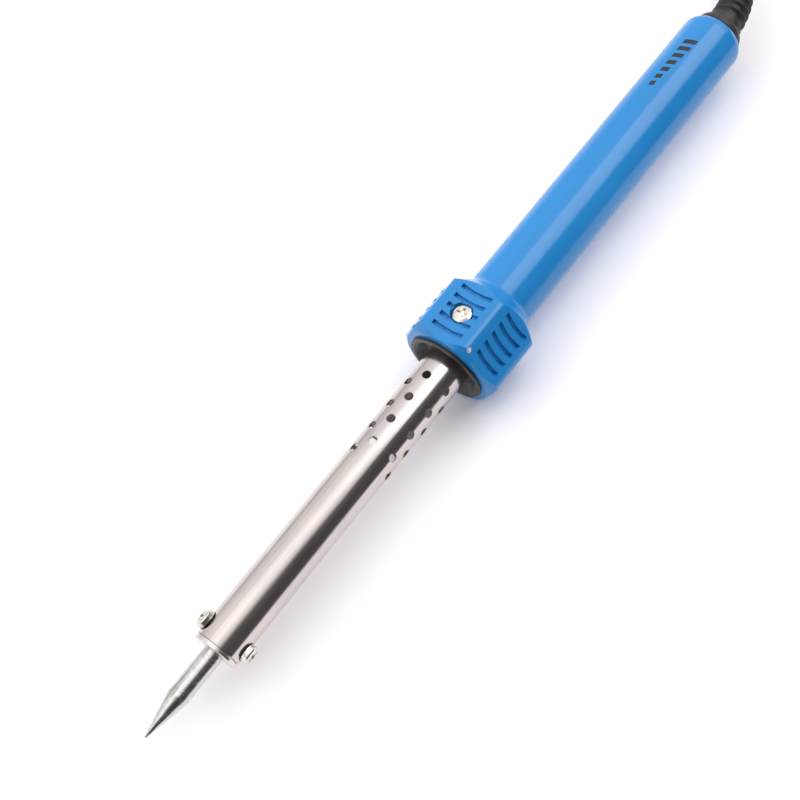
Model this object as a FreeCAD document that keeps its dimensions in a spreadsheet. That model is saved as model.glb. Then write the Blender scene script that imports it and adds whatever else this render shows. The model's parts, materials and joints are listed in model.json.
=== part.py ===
import FreeCAD, Part
import math
import os
import Sketcher
from types import SimpleNamespace

# Soldering iron with a hexagonal plastic grip, a vented steel barrel and a clamped copper tip.
# X runs along the iron: the tip points to -X and the cord leaves at the +X end. Z is up.
# The origin is on the bench, under the middle of the iron, from the tip's point to the handle's end.
# The grip's lower face rests on the bench at z = 0.
# A "station" is a distance behind the tip's point, measured along the iron's axis.

DOC = FreeCAD.newDocument("soldering_iron")
SHEET = DOC.addObject("Spreadsheet::Sheet", "Dims")
ORIGIN = FreeCAD.Vector(0, 0, 0)
X_AXIS = FreeCAD.Vector(1, 0, 0)
Y_AXIS = FreeCAD.Vector(0, 1, 0)
Z_AXIS = FreeCAD.Vector(0, 0, 1)
ALONG_X = FreeCAD.Rotation(Y_AXIS, 90)
NODES = []

# Driving dimensions, in millimetres, degrees or plain counts.
DRIVING = {
    # stations of the main pieces
    "bush_at": 27.0, "barrel_at": 28.5, "tip_screw_at": 32.2, "grip_at": 128.0, "grip_screw_at": 138.5,
    "handle_end_at": 268.0,
    # the tip
    "tip_radius": 3.0, "tip_cone": 12.5, "tip_front_to": 26.5, "tip_shank_radius": 2.8,
    "tip_point_radius": 0.25, "tip_length": 85.0, "tip_back_chamfer": 0.6,
    # the barrel, and the bush in its mouth
    "barrel_radius": 6.75, "barrel_wall": 0.4, "barrel_flange_at": 146.8, "barrel_flange_radius": 7.95,
    "barrel_flange": 0.6, "bush_flange": 1.1, "bush_relief": 0.7, "bush_depth": 11.5,
    "bush_bore_radius": 2.87, "bush_edge": 0.3,
    # the vents
    "vent_radius": 1.3, "vent_pitch": 8.05, "vent_last_at": 120.4, "vent_count": 4, "vent_divisions": 11,
    "seam_angle": 33.3,
    # the M3 screws and their washers
    "shank_radius": 1.45, "screw_hole_radius": 1.5, "head_radius": 2.75, "grip_head_radius": 3.05,
    "head_height": 1.65, "head_edge": 0.75,
    "recess_width": 0.75, "recess_span": 3.3, "recess_depth": 1.1, "washer_radius": 2.9,
    "washer_hole_radius": 1.55, "washer_thickness": 0.35, "washer_gap": 0.02, "barrel_screw_hole_radius": 1.7,
    "screw_end_gap": 0.04, "left_screw_angle": 51.6, "right_screw_angle": 256.6,
    # the grip
    "grip_flats": 28.9, "grip_corner_round": 3.0, "grip_face_radius": 13.9, "grip_chamfer": 2.0,
    "grip_full_to": 146.7, "grip_cone_to": 152.4, "grip_reach": 16.25, "scoop_radius": 34.0, "scoop_depth": 0.3,
    "groove_length": 10.2, "groove_depth": 1.2, "groove_width": 1.4, "groove_pitch": 3.4, "groove_count": 5,
    "groove_floor_round": 0.25, "groove_bow_radius": 30.0,
    "screw_pit_radius": 3.25, "screw_seat": 12.0, "screw_wall_hole_radius": 1.65,
    # the tube behind the grip
    "tube_radius": 10.05, "tube_end_radius": 9.8, "tube_end_round": 3.6, "tube_neck_round": 2.2,
    "cavity_radius": 7.4, "cavity_from": 150.2, "end_wall": 4.0, "cord_hole_radius": 4.5,
    # the insulating collar, the ring that holds the barrel in it, and the insert that takes the grip screw
    "collar_radius": 12.1, "collar_proud": 0.9, "collar_flange": 4.4, "collar_bore_radius": 6.8,
    "collar_lip": 1.3, "collar_dish": 2.6, "dish_floor_radius": 8.4, "spigot_radius": 9.0, "spigot_to": 149.9,
    "flange_seat_radius": 8.0, "ring_thickness": 2.0, "insert_radius": 2.3, "insert_from": 6.95,
    "insert_to": 8.65,
    # the heater inside the barrel
    "core_bore_radius": 2.95, "core_radius": 3.45, "core_to": 97.0, "mica_thickness": 0.25, "mica_from": 43.0,
    "mica_to": 91.0, "coil_from": 45.0, "coil_turns": 44, "coil_wire": 1.0, "coil_height": 0.6,
    "spacer_from": 93.0, "spacer_length": 4.0, "lead_from": 86.0, "lead_radius": 0.4, "lead_offset": 4.95,
    "lead_angle": 150.0,
    "bead_radius": 1.2, "bead_hole_radius": 0.5, "bead_length": 5.0, "bead_count": 12, "bead_gap": 0.15,
    # the terminals inside the handle
    "block_at": 178.0, "block_length": 17.0, "block_width": 12.0, "block_height": 7.4, "block_round": 0.8,
    "sleeve_offset": 3.1, "sleeve_radius": 1.8, "sleeve_bore_radius": 1.15, "clamp_screw_radius": 1.0,
    "clamp_screw_inset": 4.0, "clamp_screw_hole_radius": 1.1,
    # the cord's inner end and what holds it
    "cord_radius": 3.0, "conductor_radius": 1.1, "jacket_from": 246.0, "conductor_offset": 1.4,
    "clamp_from": 253.0, "clamp_length": 5.0, "clamp_radius": 4.3,
    # the rubber boot
    "boot_inner_flange": 2.0, "boot_inner_radius": 5.8, "boot_flange": 2.7, "boot_flange_radius": 7.75,
    "boot_straight": 3.4, "boot_neck_radius": 5.5, "boot_end_radius": 4.4, "boot_bend_radius": 34.0,
    "boot_bend_length": 24.0, "boot_drop": 20.0, "boot_rib": 0.55, "boot_rib_width": 1.3, "boot_ribs": 8,
    # the tied hank
    "hank_from": 202.0, "hank_straight": 98.0, "hank_fold_radius": 19.5, "hank_side": 6.0, "hank_layers": 2,
    "hank_layer": 6.2, "tie_thickness": 1.0, "tie_width": 9.0,
    # the plug
    "plug_at": 363.5, "plug_side": 15.5, "plug_neck": 10.0, "plug_neck_radius": 4.6, "plug_length": 32.0,
    "plug_width": 26.0, "plug_height": 13.8, "plug_round": 3.0, "pin_radius": 2.0, "pin_length": 19.0,
    "pin_spacing": 19.0, "pin_root": 8.0, "pin_root_radius": 1.7, "pin_tip_chamfer": 0.8,
    "plug_cord_depth": 8.0,
}


class Size:
    """A size that knows its number and the text that works it out from the sheet."""

    def __init__(self, text, value):
        self.text = text
        self.value = value

    def __float__(self):
        return self.value

    def __neg__(self):
        return Size(f"(-{self.text})", -self.value)

    def __add__(self, other):
        return Size(f"({self.text} + {text_of(other)})", self.value + float(other))

    def __sub__(self, other):
        return Size(f"({self.text} - {text_of(other)})", self.value - float(other))

    def __mul__(self, other):
        return Size(f"({self.text} * {text_of(other)})", self.value * float(other))

    def __truediv__(self, other):
        return Size(f"({self.text} / {text_of(other)})", self.value / float(other))


def text_of(number):
    return number.text if isinstance(number, Size) else repr(float(number))


def fill_sheet():
    """Writes the driving dimensions and returns them by name."""
    sizes = SimpleNamespace()
    for row, (alias, value) in enumerate(DRIVING.items(), start=1):
        SHEET.set(f"A{row}", alias)
        SHEET.set(f"B{row}", str(value))
        SHEET.setAlias(f"B{row}", alias)
        setattr(sizes, alias, Size(f"Dims.{alias}", float(value)))
    DOC.recompute()
    return sizes


D = fill_sheet()
MIDDLE_AT = D.handle_end_at / 2
AXIS_HEIGHT = D.grip_flats / 2
HEX_CORNER = D.grip_flats / 2 / math.cos(math.pi / 6)
BARREL_BORE = D.barrel_radius - D.barrel_wall
LEAD_SIDEWAYS = Size("sin(Dims.lead_angle * 1deg)", math.sin(math.radians(D.lead_angle.value)))
LEAD_UPWARD = Size("cos(Dims.lead_angle * 1deg)", math.cos(math.radians(D.lead_angle.value)))
MICA_OUT = D.core_radius + D.mica_thickness
COIL_OUT = MICA_OUT + D.coil_height
HEAD_SEAT = D.barrel_radius + D.washer_gap
TIP_SCREWS = (("left", D.left_screw_angle), ("right", D.right_screw_angle))


def bind(thing, **values):
    """Sets properties of an object, each tied to the sheet when its value comes from there."""
    for name, value in values.items():
        setattr(thing, name, float(value))
        if isinstance(value, Size):
            thing.setExpression(name, value.text)
    return thing


def place(thing, x=None, y=None, z=None, turn=None):
    """Places an object in the iron's frame, with its coordinates tied to the sheet."""
    base = FreeCAD.Vector(*(float(value) if value is not None else 0.0 for value in (x, y, z)))
    thing.Placement = FreeCAD.Placement(base, turn or FreeCAD.Rotation())
    for name, value in (("x", x), ("y", y), ("z", z)):
        if isinstance(value, Size):
            thing.setExpression(f"Placement.Base.{name}", value.text)
    return thing


def keep(thing, name):
    """Names an object as a piece of the iron."""
    thing.Label = name
    NODES.append(thing)
    return thing


def at(station):
    """The x of a station."""
    return station - MIDDLE_AT


def origin_plane(body, role):
    return next(feature for feature in body.Origin.OriginFeatures if feature.Role == role)


def outline(body, name, role, points):
    """A closed outline of straight sides on one of the body's planes, each corner tied to the sheet."""
    sketch = body.newObject("Sketcher::SketchObject", name)
    sketch.AttachmentSupport = [(origin_plane(body, role), "")]
    sketch.MapMode = "FlatFace"
    corners = [FreeCAD.Vector(float(a), float(b), 0) for a, b in points]
    for here, there in zip(corners, corners[1:] + corners[:1]):
        sketch.addGeometry(Part.LineSegment(here, there), False)
    for side, corner in enumerate(points):
        sketch.addConstraint(Sketcher.Constraint("Coincident", side, 2, (side + 1) % len(points), 1))
        for kind, axis, value in (("DistanceX", -2, corner[0]), ("DistanceY", -1, corner[1])):
            if float(value) == 0:
                sketch.addConstraint(Sketcher.Constraint("PointOnObject", side, 1, axis))
                continue
            index = sketch.addConstraint(Sketcher.Constraint(kind, -1, 1, side, 1, float(value)))
            if isinstance(value, Size):
                sketch.setExpression(f"Constraints[{index}]", value.text)
    return sketch


def turned(name, points):
    """A body turned about the iron's axis from corners given as (station, radius)."""
    body = DOC.addObject("PartDesign::Body", name)
    sketch = outline(body, f"{name}_outline", "XZ_Plane", points)
    turn = body.newObject("PartDesign::Revolution", f"{name}_turned")
    turn.Profile = sketch
    turn.ReferenceAxis = (sketch, ["H_Axis"])
    turn.Angle = 360
    body.Tip = turn
    return place(body, x=-MIDDLE_AT, z=AXIS_HEIGHT)


def tube(name, start, end, inner, outer):
    """A plain tube on the iron's axis, between two stations."""
    return turned(name, [(start, inner), (start, outer), (end, outer), (end, inner)])


def rounded(body, radius, picks):
    """Rounds the edges of a body's last feature that pick out their middle points."""
    DOC.recompute()
    last = body.Tip
    names = [f"Edge{i}" for i, edge in enumerate(last.Shape.Edges, start=1) if picks(edge)]
    fillet = body.newObject("PartDesign::Fillet", f"{body.Name}_round{len(body.Group)}")
    fillet.Base = (last, names)
    bind(fillet, Radius=radius)
    body.Tip = fillet
    return body


def circle_at(edge, station, radius):
    """True for a full circle about the axis at that station and radius."""
    curve = edge.Curve
    is_circle = isinstance(curve, Part.Circle)
    return is_circle and abs(curve.Radius - radius) < 0.01 and abs(curve.Center.x - station) < 0.01


def rod(name, radius, height, **where):
    return place(bind(DOC.addObject("Part::Cylinder", name), Radius=radius, Height=height), **where)


def joined(kind, name, base, tool):
    thing = DOC.addObject(kind, name)
    thing.Base = base
    thing.Tool = tool
    return thing


def feature(name, shape):
    thing = DOC.addObject("Part::Feature", name)
    thing.Shape = shape
    return thing


def tangent_path(points):
    """Straight runs joined by tangent arcs, and the arcs' radii."""
    route = [FreeCAD.Vector(*point) for point in points]
    edges = []
    radii = []
    here = route[0]
    for before, corner, after in zip(route, route[1:], route[2:]):
        back = (before - corner).normalize()
        ahead = (after - corner).normalize()
        turn = math.pi - back.getAngle(ahead)
        reach = 0.45 * min((before - corner).Length, (after - corner).Length)
        radii.append(reach / math.tan(turn / 2))
        start = corner + back * reach
        end = corner + ahead * reach
        middle = corner + (back + ahead).normalize() * (radii[-1] / math.cos(turn / 2) - radii[-1])
        edges.append(Part.LineSegment(here, start).toShape())
        edges.append(Part.Arc(start, middle, end).toShape())
        here = end
    edges.append(Part.LineSegment(here, route[-1]).toShape())
    return Part.Wire(edges), radii


def swept(points, radius):
    """A round tube along tangent runs and arcs; prints how true its volume is and its tightest arc."""
    path, radii = tangent_path(points)
    start = FreeCAD.Vector(*points[0])
    ring = Part.Wire(Part.makeCircle(radius, start, FreeCAD.Vector(*points[1]) - start))
    shape = path.makePipeShell([ring], True, False)
    share = shape.Volume / (math.pi * radius**2 * path.Length)
    print(f"length {path.Length:.1f}, volume share {share:.4f}, radii {[round(r, 1) for r in radii]}")
    return shape


# ---- the tip, the bush and the barrel -------------------------------------------------------------------


def make_tip():
    back = D.tip_length - D.tip_back_chamfer
    keep(turned("tip", [
        (0, 0), (0, D.tip_point_radius), (D.tip_cone, D.tip_radius), (D.tip_front_to, D.tip_radius),
        (D.tip_front_to, D.tip_shank_radius), (back, D.tip_shank_radius),
        (D.tip_length, D.tip_shank_radius - D.tip_back_chamfer), (D.tip_length, 0),
    ]), "tip")


def screw_side(angle, distance):
    """Where a tip screw's part stands: turned about the iron's axis, from straight up toward +Y."""
    sideways = Size(f"sin({angle.text} * 1deg)", math.sin(math.radians(angle.value)))
    upward = Size(f"cos({angle.text} * 1deg)", math.cos(math.radians(angle.value)))
    return {"x": at(D.tip_screw_at), "y": sideways * distance, "z": AXIS_HEIGHT + upward * distance,
            "turn": FreeCAD.Rotation(X_AXIS, -float(angle))}


def side_rods(name, radius, inner, outer):
    """Two rods across the axis, one for each tip screw, used to make their holes."""
    return [
        rod(f"{name}_{side}", radius, outer - inner, **screw_side(angle, inner))
        for side, angle in TIP_SCREWS
    ]


def make_bush():
    flange_end = D.bush_at + D.bush_flange
    end = D.barrel_at + D.bush_depth
    blank = turned("bush_blank", [
        (D.bush_at, D.bush_bore_radius + D.bush_edge), (D.bush_at, D.barrel_radius - D.bush_edge),
        (D.bush_at + D.bush_edge, D.barrel_radius), (flange_end, D.barrel_radius),
        (flange_end, BARREL_BORE - D.bush_relief), (D.barrel_at + 0.1, BARREL_BORE - D.bush_relief),
        (D.barrel_at + 0.4, BARREL_BORE), (end, BARREL_BORE), (end, D.bush_bore_radius),
        (D.bush_at + D.bush_edge, D.bush_bore_radius),
    ])
    left, right = side_rods("bush_hole", D.screw_hole_radius, D.tip_radius - 0.5, D.barrel_radius)
    drilled = joined("Part::Cut", "bush_drilled", blank, left)
    keep(joined("Part::Cut", "front_bush", drilled, right), "front_bush")


def vent_tool():
    """All the vents' drills: rows round the barrel, every other pair of rows half a pitch forward."""
    drills = []
    for row in range(1, DRIVING["vent_divisions"]):
        angle = math.radians(DRIVING["seam_angle"] + 360 * row / DRIVING["vent_divisions"])
        steps_from_seam = min(row, DRIVING["vent_divisions"] - row)
        shift = 0 if steps_from_seam % 2 else 0.5
        outward = FreeCAD.Vector(0, -math.sin(angle), math.cos(angle))
        for hole in range(DRIVING["vent_count"]):
            x = float(at(D.vent_last_at)) - (hole + shift) * float(D.vent_pitch)
            start = FreeCAD.Vector(x, 0, float(AXIS_HEIGHT)) + outward * (float(BARREL_BORE) - 1)
            drills.append(Part.makeCylinder(float(D.vent_radius), 3, start, outward))
    return feature("vent_drills", Part.makeCompound(drills))


def make_barrel():
    flange_end = D.barrel_flange_at + D.barrel_flange
    blank = turned("barrel_blank", [
        (D.barrel_at, BARREL_BORE), (D.barrel_at, D.barrel_radius), (D.barrel_flange_at, D.barrel_radius),
        (D.barrel_flange_at, D.barrel_flange_radius), (flange_end, D.barrel_flange_radius),
        (flange_end, BARREL_BORE),
    ])
    left, right = side_rods("barrel_hole", D.barrel_screw_hole_radius, D.tip_radius, D.barrel_radius + 1)
    vented = joined("Part::Cut", "barrel_vented", blank, vent_tool())
    drilled = joined("Part::Cut", "barrel_drilled", vented, left)
    keep(joined("Part::Cut", "barrel", drilled, right), "barrel")


# ---- screws ----------------------------------------------------------------------------------------------


def make_screw(name, shank_length, head_radius, **where):
    """An M3 pan-head screw with a cross recess; its own Z points out of the head's seat."""
    body = DOC.addObject("PartDesign::Body", f"{name}_blank")
    sketch = outline(body, f"{name}_outline", "XZ_Plane", [
        (0, -shank_length), (D.shank_radius - 0.3, -shank_length), (D.shank_radius, -shank_length + 0.3),
        (D.shank_radius, 0), (head_radius, 0), (head_radius, D.head_height - D.head_edge),
        (head_radius - 0.25, D.head_height - 0.4), (head_radius - 0.8, D.head_height - 0.1),
        (head_radius - 1.5, D.head_height), (0, D.head_height),
    ])
    turn = body.newObject("PartDesign::Revolution", f"{name}_turned")
    turn.Profile = sketch
    turn.ReferenceAxis = (sketch, ["V_Axis"])
    turn.Angle = 360
    body.Tip = turn
    place(body, **where)
    bars = []
    for bar, (long, wide) in enumerate(((D.recess_span, D.recess_width), (D.recess_width, D.recess_span))):
        tool = bind(DOC.addObject("Part::Box", f"{name}_bar{bar}"), Length=long, Width=wide,
                    Height=D.recess_depth + 0.5)
        offset = FreeCAD.Vector(-float(long) / 2, -float(wide) / 2, float(D.head_height - D.recess_depth))
        tool.Placement = body.Placement.multiply(FreeCAD.Placement(offset, FreeCAD.Rotation()))
        bars.append(tool)
    half = joined("Part::Cut", f"{name}_half", body, bars[0])
    keep(joined("Part::Cut", f"{name}_cut", half, bars[1]), name)


def make_washer(name, **where):
    outer = rod(f"{name}_disc", D.washer_radius, D.washer_thickness, **where)
    hole = rod(f"{name}_hole", D.washer_hole_radius, D.washer_thickness, **where)
    keep(joined("Part::Cut", f"{name}_ring", outer, hole), name)


def make_tip_screws():
    seat = HEAD_SEAT + D.washer_thickness
    shank = seat - D.tip_shank_radius - D.screw_end_gap
    for side, angle in TIP_SCREWS:
        make_washer(f"tip_washer_{side}", **screw_side(angle, HEAD_SEAT))
        make_screw(f"tip_screw_{side}", shank, D.head_radius, **screw_side(angle, seat))


def make_grip_screw():
    seat = AXIS_HEIGHT + D.screw_seat
    x = at(D.grip_screw_at)
    make_washer("grip_washer", x=x, z=seat + D.washer_gap)
    head = seat + D.washer_gap + D.washer_thickness
    make_screw("grip_screw", head - AXIS_HEIGHT - D.insert_from - 0.2, D.grip_head_radius, x=x, z=head)
    length = D.insert_to - D.insert_from
    outer = rod("insert_outer", D.insert_radius, length, x=x, z=AXIS_HEIGHT + D.insert_from)
    hole = rod("insert_hole", D.screw_hole_radius, length, x=x, z=AXIS_HEIGHT + D.insert_from)
    keep(joined("Part::Cut", "insert_ring", outer, hole), "grip_insert")


# ---- the handle and the collar ---------------------------------------------------------------------------


def handle_envelope():
    end = D.handle_end_at
    body = turned("handle_envelope", [
        (D.grip_at, 0), (D.grip_at, D.grip_face_radius), (D.grip_at + D.grip_chamfer, D.grip_reach),
        (D.grip_full_to, D.grip_reach), (D.grip_cone_to, D.tube_radius), (end, D.tube_end_radius), (end, 0),
    ])
    rounded(body, D.tube_end_round, lambda e: circle_at(e, float(end), float(D.tube_end_radius)))
    return rounded(body, D.tube_neck_round,
                   lambda e: circle_at(e, float(D.grip_cone_to), float(D.tube_radius)))


def hex_core():
    """The hexagon with its long corners rounded, fused to a round core for the tube."""
    prism = bind(DOC.addObject("Part::Prism", "grip_prism"), Circumradius=HEX_CORNER,
                 Height=D.grip_cone_to + 1.5 - D.grip_at)
    prism.Polygon = 6
    place(prism, x=at(D.grip_at), z=AXIS_HEIGHT, turn=ALONG_X.multiply(FreeCAD.Rotation(Z_AXIS, 30)))
    DOC.recompute()
    rounds = DOC.addObject("Part::Fillet", "grip_rounded")
    rounds.Base = prism
    corner = float(D.grip_corner_round)
    rounds.Edges = [
        (i, corner, corner)
        for i, edge in enumerate(prism.Shape.Edges, start=1)
        if abs(edge.tangentAt(edge.FirstParameter).x) > 0.9
    ]
    core = rod("tube_core", D.tube_radius + 1.2, D.handle_end_at - D.grip_at, x=at(D.grip_at), z=AXIS_HEIGHT,
               turn=ALONG_X)
    return joined("Part::Fuse", "grip_core", rounds, core)


def groove_bar(x, turn, middle):
    """A bar lying across one of the grip's faces, bowed toward the tip; it cuts one finger groove."""
    length = float(D.groove_length)
    half = float(D.groove_width) / 2
    bow = float(D.groove_bow_radius)
    floor = float(D.grip_flats) / 2 - float(D.groove_depth)
    centre = FreeCAD.Vector(bow, 0, floor)
    ring = Part.makeCylinder(bow + half, 4, centre).cut(Part.makeCylinder(bow - half, 4, centre))
    bar = ring.common(Part.makeBox(6, length, 4, FreeCAD.Vector(-2, -length / 2, floor)))
    floor_edges = [edge for edge in bar.Edges if abs(edge.BoundBox.ZMax - floor) < 0.01]
    bar = bar.makeFillet(float(D.groove_floor_round), floor_edges)
    bar.Placement = FreeCAD.Placement(middle + X_AXIS * x, turn)
    return bar


def grip_tool():
    """Everything that is cut into the grip's six faces: the finger scoops and their grooves."""
    middle = FreeCAD.Vector(0, 0, float(AXIS_HEIGHT))
    away = float(D.grip_flats) / 2 - float(D.scoop_depth) + float(D.scoop_radius)
    length = float(D.grip_cone_to) - float(D.grip_at) + 4
    cuts = []
    for face in range(6):
        angle = math.pi / 3 * face
        outward = FreeCAD.Vector(0, math.sin(angle), math.cos(angle))
        start = middle + outward * away + X_AXIS * (float(at(D.grip_at)) - 2)
        cuts.append(Part.makeCylinder(float(D.scoop_radius), length, start, X_AXIS))
        for groove in range(DRIVING["groove_count"]):
            step = groove - (DRIVING["groove_count"] - 1) / 2
            x = float(at(D.grip_screw_at)) + step * float(D.groove_pitch)
            cuts.append(groove_bar(x, FreeCAD.Rotation(X_AXIS, -60 * face), middle))
    return feature("grip_cuts", cuts[0].multiFuse(cuts[1:]))


def make_handle():
    flange_end = D.grip_at - D.collar_proud + D.collar_flange
    outside = joined("Part::Common", "handle_outside", handle_envelope(), hex_core())
    shaped = joined("Part::Cut", "handle_shaped", outside, grip_tool())
    wall_at = D.handle_end_at - D.end_wall
    inside = turned("handle_inside", [
        (D.grip_at - 1, 0), (D.grip_at - 1, D.collar_radius), (flange_end, D.collar_radius),
        (flange_end, D.spigot_radius), (D.cavity_from, D.spigot_radius),
        (D.cavity_from + 2, D.cavity_radius), (wall_at, D.cavity_radius), (wall_at, D.cord_hole_radius),
        (D.handle_end_at + 1, D.cord_hole_radius), (D.handle_end_at + 1, 0),
    ])
    hollow = joined("Part::Cut", "handle_hollow", shaped, inside)
    seat = AXIS_HEIGHT + D.screw_seat
    pit = rod("screw_pit", D.screw_pit_radius, 6, x=at(D.grip_screw_at), z=seat)
    pitted = joined("Part::Cut", "handle_pitted", hollow, pit)
    hole = rod("screw_wall_hole", D.screw_wall_hole_radius, 6, x=at(D.grip_screw_at), z=seat - 4)
    keep(joined("Part::Cut", "handle_cut", pitted, hole), "handle")


def make_collar():
    front = D.grip_at - D.collar_proud
    dish_end = front + D.collar_dish
    flange_end = front + D.collar_flange
    blank = turned("collar_blank", [
        (dish_end, D.collar_bore_radius), (dish_end, D.dish_floor_radius),
        (front + 0.5, D.collar_radius - D.collar_lip - 0.7), (front, D.collar_radius - D.collar_lip),
        (front, D.collar_radius - 0.25), (front + 0.25, D.collar_radius), (flange_end, D.collar_radius),
        (flange_end, D.spigot_radius), (D.spigot_to, D.spigot_radius), (D.spigot_to, D.flange_seat_radius),
        (D.barrel_flange_at, D.flange_seat_radius), (D.barrel_flange_at, D.collar_bore_radius),
    ])
    seat = rod("insert_seat", D.insert_radius, 4, x=at(D.grip_screw_at), z=AXIS_HEIGHT + D.insert_from)
    socket = joined("Part::Cut", "collar_socket", blank, seat)
    hole = rod("insert_way", D.screw_hole_radius, 4, x=at(D.grip_screw_at),
               z=AXIS_HEIGHT + D.collar_bore_radius - 1)
    keep(joined("Part::Cut", "collar_cut", socket, hole), "insulating_collar")
    ring_at = D.barrel_flange_at + D.barrel_flange
    keep(tube("barrel_ring", ring_at, ring_at + D.ring_thickness, BARREL_BORE, D.flange_seat_radius),
         "barrel_retaining_ring")


# ---- the heater ------------------------------------------------------------------------------------------


def make_coil():
    """The resistance wire, wound turn against turn: a sleeve whose outside is one bump for each turn."""
    points = [(D.coil_from, MICA_OUT)]
    for turn in range(DRIVING["coil_turns"]):
        start = D.coil_from + D.coil_wire * turn
        points.append((start, COIL_OUT - 0.3))
        points.append((start + 0.5, COIL_OUT))
    end = D.coil_from + D.coil_wire * DRIVING["coil_turns"]
    points += [(end, COIL_OUT - 0.3), (end, MICA_OUT)]
    keep(turned("heating_coil", points), "heating_coil")


def make_spacer():
    end = D.spacer_from + D.spacer_length
    blank = tube("spacer_blank", D.spacer_from, end, D.core_radius, BARREL_BORE)
    aside = D.lead_offset * LEAD_SIDEWAYS
    level = AXIS_HEIGHT + D.lead_offset * LEAD_UPWARD
    left = rod("spacer_left", D.lead_radius, D.spacer_length, x=at(D.spacer_from), y=aside, z=level,
               turn=ALONG_X)
    right = rod("spacer_right", D.lead_radius, D.spacer_length, x=at(D.spacer_from), y=-aside, z=level,
                turn=ALONG_X)
    half = joined("Part::Cut", "spacer_half", blank, left)
    keep(joined("Part::Cut", "spacer_cut", half, right), "ceramic_spacer")


def make_heater():
    keep(tube("heater_core", D.barrel_at + D.bush_depth, D.core_to, D.core_bore_radius, D.core_radius),
         "heater_core_tube")
    keep(tube("mica_inner", D.mica_from, D.mica_to, D.core_radius, MICA_OUT), "mica_inner")
    make_coil()
    keep(tube("mica_outer", D.mica_from, D.mica_to, COIL_OUT, COIL_OUT + D.mica_thickness), "mica_outer")
    make_spacer()


def lead_route(sign):
    """A heater lead: straight down the barrel's lower side, then up to its terminal."""
    height = float(AXIS_HEIGHT)
    low = float(AXIS_HEIGHT + D.lead_offset * LEAD_UPWARD)
    beads_end = float(at(D.spacer_from + D.spacer_length)) + DRIVING["bead_count"] * float(
        D.bead_length + D.bead_gap)
    out = sign * float(D.lead_offset * LEAD_SIDEWAYS)
    into = sign * float(D.sleeve_offset)
    block = float(at(D.block_at))
    return [(float(at(D.lead_from)), out, low), (beads_end + 3, out, low), (block - 6, into, height),
            (block + 6, into, height)]


def make_leads():
    beads = []
    for side, sign in (("left", 1), ("right", -1)):
        keep(feature(f"lead_{side}", swept(lead_route(sign), float(D.lead_radius))), f"heater_lead_{side}")
        for bead in range(DRIVING["bead_count"]):
            x = float(at(D.spacer_from + D.spacer_length + D.bead_gap)) + bead * float(
                D.bead_length + D.bead_gap)
            start = FreeCAD.Vector(x, sign * float(D.lead_offset * LEAD_SIDEWAYS),
                                   float(AXIS_HEIGHT + D.lead_offset * LEAD_UPWARD))
            outer = Part.makeCylinder(float(D.bead_radius), float(D.bead_length), start, X_AXIS)
            hole = Part.makeCylinder(float(D.bead_hole_radius), float(D.bead_length), start, X_AXIS)
            beads.append(outer.cut(hole))
    keep(feature("bead_group", Part.makeCompound(beads)), "lead_beads")


# ---- the terminals and the cord's inner end ----------------------------------------------------------------


def terminal_screw_spots():
    length = float(D.block_length)
    inset = float(D.clamp_screw_inset)
    for sign in (1, -1):
        for along in (inset, length - inset):
            yield float(at(D.block_at)) + along, sign * float(D.sleeve_offset)


def make_terminals():
    start = float(at(D.block_at))
    length = float(D.block_length)
    width = float(D.block_width)
    height = float(D.block_height)
    axis = float(AXIS_HEIGHT)
    block = Part.makeBox(length, width, height, FreeCAD.Vector(start, -width / 2, axis - height / 2))
    block = block.makeFillet(float(D.block_round), [e for e in block.Edges if abs(e.tangentAt(0).x) > 0.9])
    sleeves = []
    for sign in (1, -1):
        mouth = FreeCAD.Vector(start, sign * float(D.sleeve_offset), axis)
        outer = Part.makeCylinder(float(D.sleeve_radius), length, mouth, X_AXIS)
        block = block.cut(outer)
        sleeves.append(outer.cut(Part.makeCylinder(float(D.sleeve_bore_radius), length, mouth, X_AXIS)))
    screws = []
    for x, y in terminal_screw_spots():
        foot = FreeCAD.Vector(x, y, axis + float(D.sleeve_bore_radius))
        top = FreeCAD.Vector(x, y, axis)
        way = Part.makeCylinder(float(D.clamp_screw_hole_radius), height, top, Z_AXIS)
        block = block.cut(way)
        sleeves = [sleeve.cut(way) for sleeve in sleeves]
        screw = Part.makeCylinder(float(D.clamp_screw_radius), height / 2 - 1.4, foot, Z_AXIS)
        slot = Part.makeBox(3, 0.4, 0.6, FreeCAD.Vector(x - 1.5, y - 0.2, foot.z + height / 2 - 2.0))
        screws.append(screw.cut(slot))
    keep(feature("block_body", block), "terminal_block")
    keep(feature("sleeve_group", Part.makeCompound(sleeves)), "terminal_sleeves")
    keep(feature("clamp_screw_group", Part.makeCompound(screws)), "terminal_screws")


def make_conductors():
    axis = float(AXIS_HEIGHT)
    block_end = float(at(D.block_at + D.block_length))
    jacket = float(at(D.jacket_from))
    for name, sign in (("conductor_brown", 1), ("conductor_blue", -1)):
        wide = sign * float(D.sleeve_offset)
        near = sign * float(D.conductor_offset)
        route = [(block_end - 7, wide, axis), (block_end + 9, wide, axis), (jacket - 12, near, axis),
                 (jacket, near, axis)]
        keep(feature(f"{name}_wire", swept(route, float(D.conductor_radius))), name)


# ---- the boot and the cord ---------------------------------------------------------------------------------


def boot_point(length):
    """A point of the boot's bent axis and its direction, that far behind the straight part."""
    turn = length / float(D.boot_bend_radius)
    drop = math.radians(float(D.boot_drop))
    aside = FreeCAD.Vector(0, math.cos(drop), -math.sin(drop))
    start = FreeCAD.Vector(float(at(D.handle_end_at + D.boot_straight)), 0, float(AXIS_HEIGHT))
    radius = float(D.boot_bend_radius)
    point = start + X_AXIS * (radius * math.sin(turn)) + aside * (radius * (1 - math.cos(turn)))
    return point, X_AXIS * math.cos(turn) + aside * math.sin(turn)


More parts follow.
